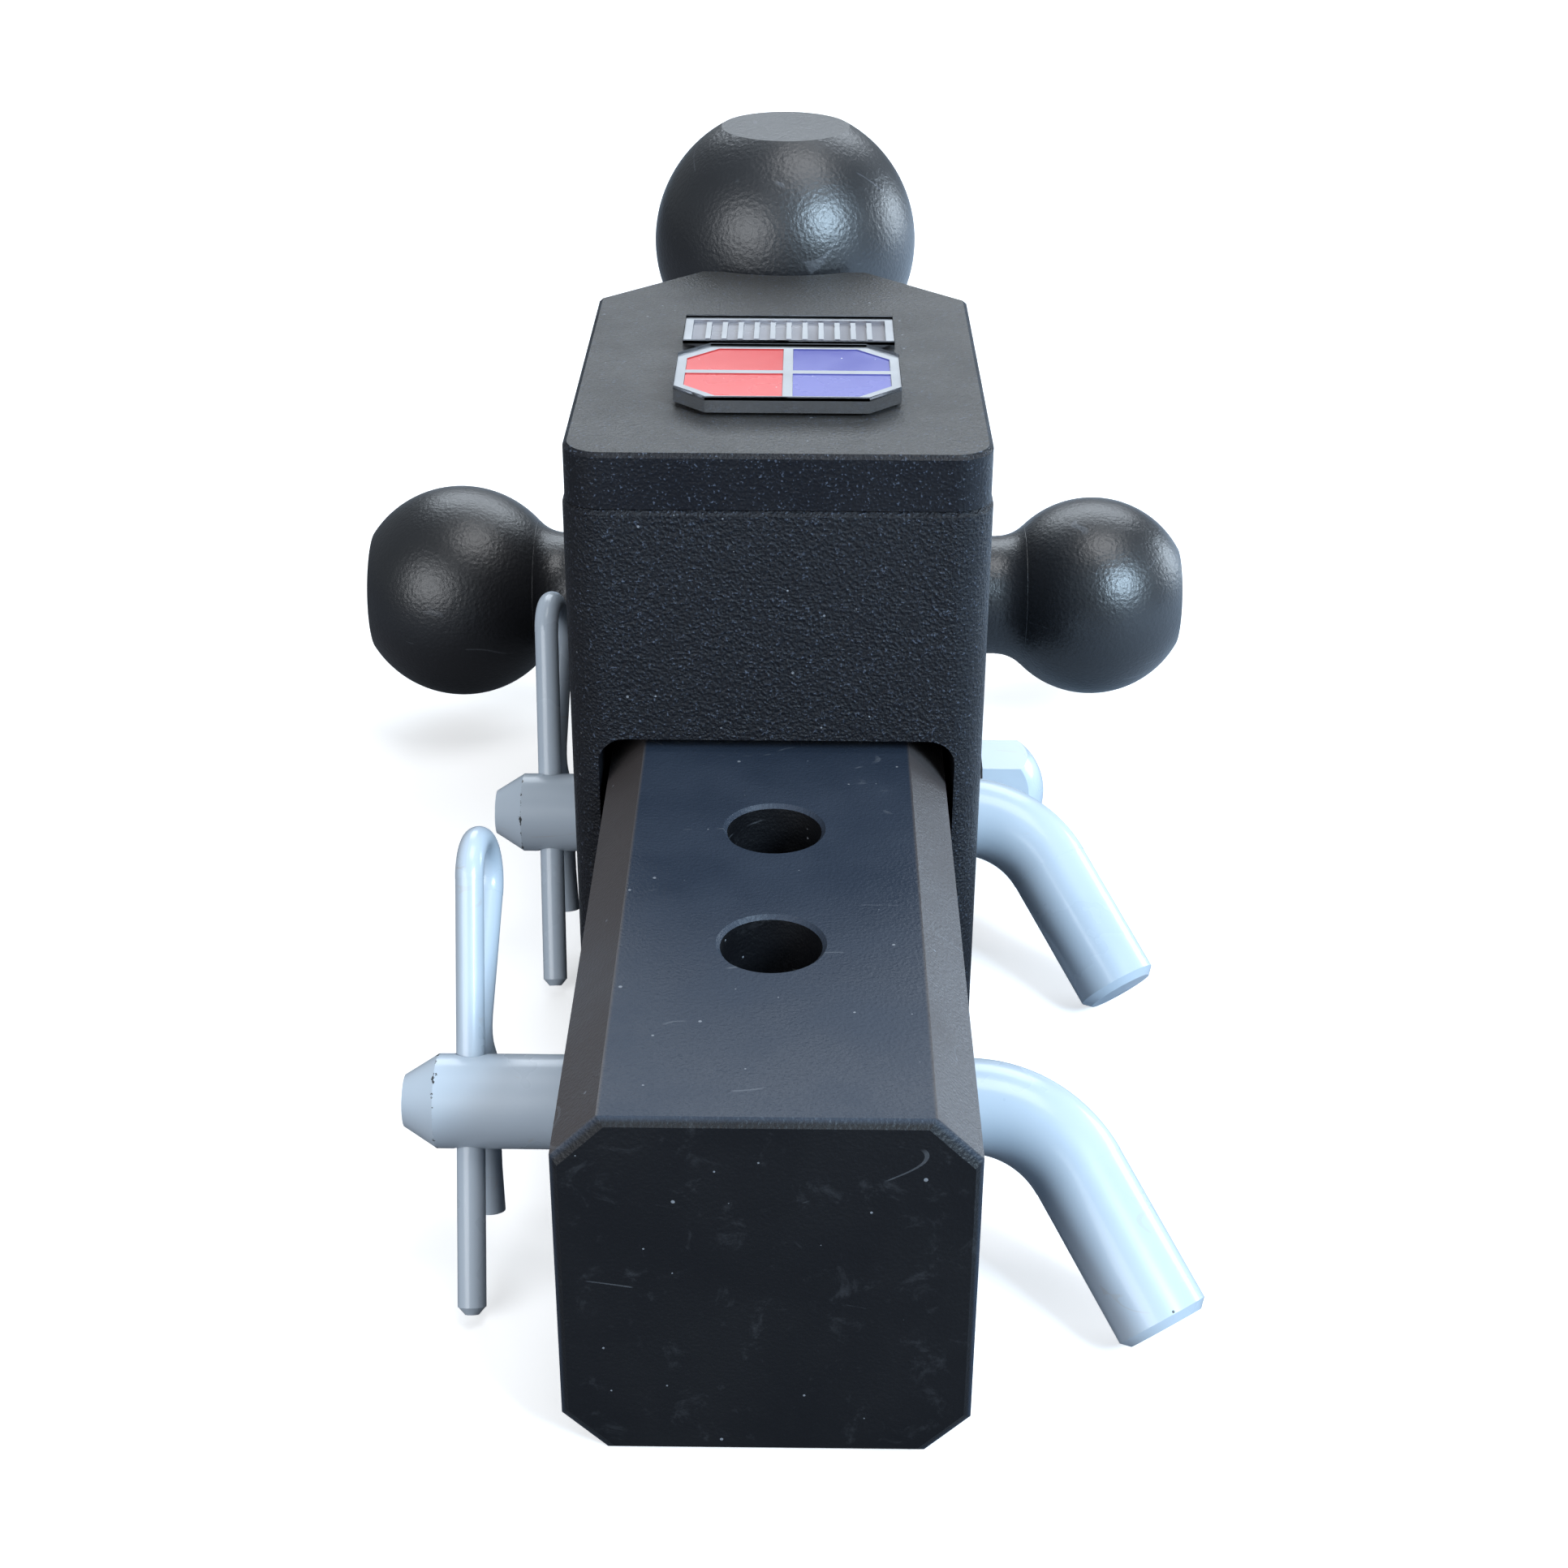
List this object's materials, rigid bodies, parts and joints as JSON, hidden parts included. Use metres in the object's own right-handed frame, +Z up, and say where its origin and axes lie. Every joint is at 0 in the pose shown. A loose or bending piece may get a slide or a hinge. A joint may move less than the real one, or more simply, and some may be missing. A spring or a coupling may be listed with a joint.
{
  "type": "trailer hitch with ball",
  "caption": "Drawbar trailer hitch: a square bar pinned in a tall head box that carries a top ball and a ball on each side, with bent hitch pins and spring clips.",
  "frame": {"origin": "centre of the drawbar's free end face, on the drawbar's axis", "axes": "+Y along the drawbar from its free end to the balls, +Z up through the large ball's side, +X towards the bent arms of the pins"},
  "size_m": [0.1946, 0.2864, 0.1465],
  "materials": {
    "powder_black": "coarse textured black powder coat",
    "bar_black": "satin black paint with rubbed edges",
    "ball_black": "fine matte black coat",
    "weld_black": "coated weld bead",
    "pale_coat": "pale blue-white gloss powder coat",
    "dark_steel": "dark oxide steel",
    "bronze": "turned bronze",
    "nylon": "natural nylon",
    "chrome": "polished chrome",
    "red_enamel": "gloss red enamel",
    "blue_enamel": "gloss dark blue enamel",
    "grey_enamel": "gloss grey enamel",
    "tape": "foam tape"
  },
  "bodies": {
    "hitch": {"drawbar": "bar_black", "head_box": "powder_black", "pin_bushings": "dark_steel", "roof_plate": "powder_black", "wear_pad": "nylon", "tail_stop": "powder_black", "cap_plate": "powder_black", "cap_screws": "dark_steel", "ball_hub": "powder_black", "hub_welds": "weld_black", "large_ball": "ball_black", "medium_ball": "ball_black", "small_ball": "ball_black", "neck_welds": "weld_black", "rattle_boss": "powder_black", "badge_plate": "chrome", "badge_red": "red_enamel", "badge_blue": "blue_enamel", "badge_bar": "chrome", "badge_bar_panel": "grey_enamel", "badge_tape": "tape"},
    "receiver_pin": {"receiver_pin": "pale_coat"},
    "receiver_clip": {"receiver_clip": "pale_coat"},
    "head_pin": {"head_pin": "pale_coat"},
    "head_clip": {"head_clip": "pale_coat"},
    "rattle_shoe": {"rattle_shoe": "bronze"},
    "rattle_bolt": {"rattle_bolt": "pale_coat"}
  },
  "joints": [
    {"name": "receiver_pin_swivel", "type": "hinge", "parent": "hitch", "child": "receiver_pin", "pos_m": [0, 0.0485, 0], "axis": [1, 0, 0], "range_deg": [-15, 180]},
    {"name": "receiver_clip_pull", "type": "slide", "parent": "receiver_pin", "child": "receiver_clip", "axis": [-0.0242, 0.5323, 0.8462], "range_m": [0, 0.0435]},
    {"name": "head_pin_swivel", "type": "hinge", "parent": "hitch", "child": "head_pin", "pos_m": [0, 0.149, 0], "axis": [1, 0, 0], "range_deg": [-75, 45]},
    {"name": "head_clip_pull", "type": "slide", "parent": "head_pin", "child": "head_clip", "axis": [-0.0416, 0.5338, 0.8446], "range_m": [0, 0.0435]},
    {"name": "rattle_shoe_travel", "type": "slide", "parent": "hitch", "child": "rattle_shoe", "axis": [1, 0, 0], "range_m": [0, 0.00195]},
    {"name": "rattle_bolt_turn", "type": "hinge", "parent": "rattle_shoe", "child": "rattle_bolt", "pos_m": [0.045, 0.184, -0.01275], "axis": [1, 0, 0], "range_deg": [0, 360]}
  ],
  "couplings": [
    {"joint": "rattle_bolt_turn", "follows": "rattle_shoe_travel", "rad_per_m": 3215.8}
  ]
}
